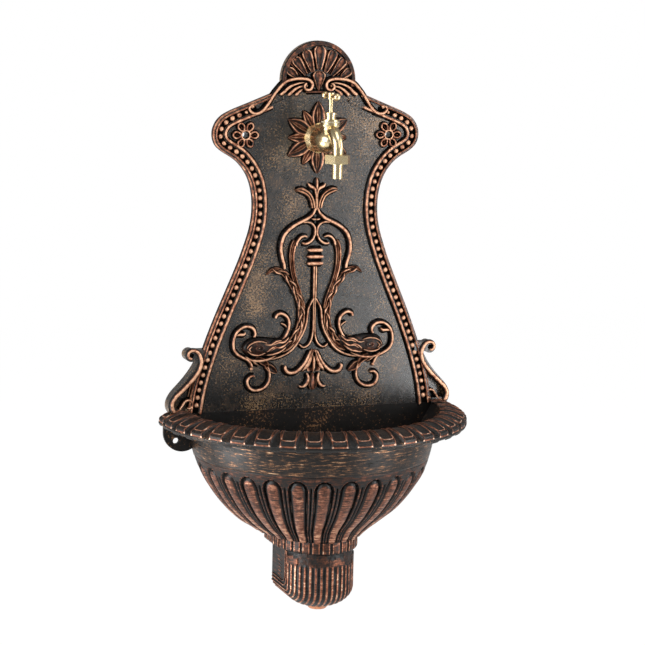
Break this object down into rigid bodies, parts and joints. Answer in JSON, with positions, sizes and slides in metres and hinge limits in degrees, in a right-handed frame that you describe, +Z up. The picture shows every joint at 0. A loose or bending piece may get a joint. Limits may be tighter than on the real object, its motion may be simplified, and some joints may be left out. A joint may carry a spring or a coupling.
{
  "type": "garden wall fountain",
  "caption": "Cast wall fountain: a scrolled back plate with a shell top, a half-round fluted basin, a drain cover below and a brass bib tap with a T handle.",
  "frame": {"origin": "midway between the two upper wall screw holes, on the wall plane", "axes": "+Z up, +X to the right seen from the front, the front faces -Y and the wall is y = 0"},
  "size_m": [0.4068, 0.2313, 0.7379],
  "materials": {
    "bronzed_casting": "near-black satin with copper rubbed high points",
    "bronzed_basin": "brushed copper bronze over dark brown",
    "tap_brass": "polished",
    "waste_metal": "polished",
    "fixing_steel": "plated",
    "seal_rubber": "matte",
    "packing_fibre": "matte"
  },
  "bodies": {
    "fountain": {"back_plate": "bronzed_casting", "basin": "bronzed_basin", "drain_cover": "bronzed_basin", "cover_stud": "fixing_steel", "finial_nut": "bronzed_basin", "waste_fitting": "waste_metal", "waste_gasket": "seal_rubber", "waste_washer": "seal_rubber", "waste_nut": "waste_metal", "joint_studs": "fixing_steel", "joint_washers": "fixing_steel", "joint_nuts": "fixing_steel", "wall_flange": "tap_brass", "tap_body": "tap_brass", "back_washer": "seal_rubber", "back_nut": "tap_brass", "head_washer": "packing_fibre", "bonnet": "tap_brass", "gland_packing": "packing_fibre", "gland_nut": "tap_brass", "union_nut": "tap_brass", "nozzle_washer": "seal_rubber", "nozzle": "tap_brass"},
    "handle": {"handle": "tap_brass", "spindle": "tap_brass"},
    "valve": {"valve_carrier": "tap_brass", "valve_washer": "seal_rubber"}
  },
  "joints": [
    {"name": "handle_turn", "type": "hinge", "parent": "fountain", "child": "handle", "pos_m": [0, -0.064, 0.05], "axis": [0, 0, 1], "range_deg": [0, 540]},
    {"name": "valve_lift", "type": "slide", "parent": "fountain", "child": "valve", "axis": [0, 0, 1], "range_m": [0, 0.0045]}
  ],
  "couplings": [
    {"joint": "valve_lift", "follows": "handle_turn", "m_per_rad": 0.00047746}
  ]
}
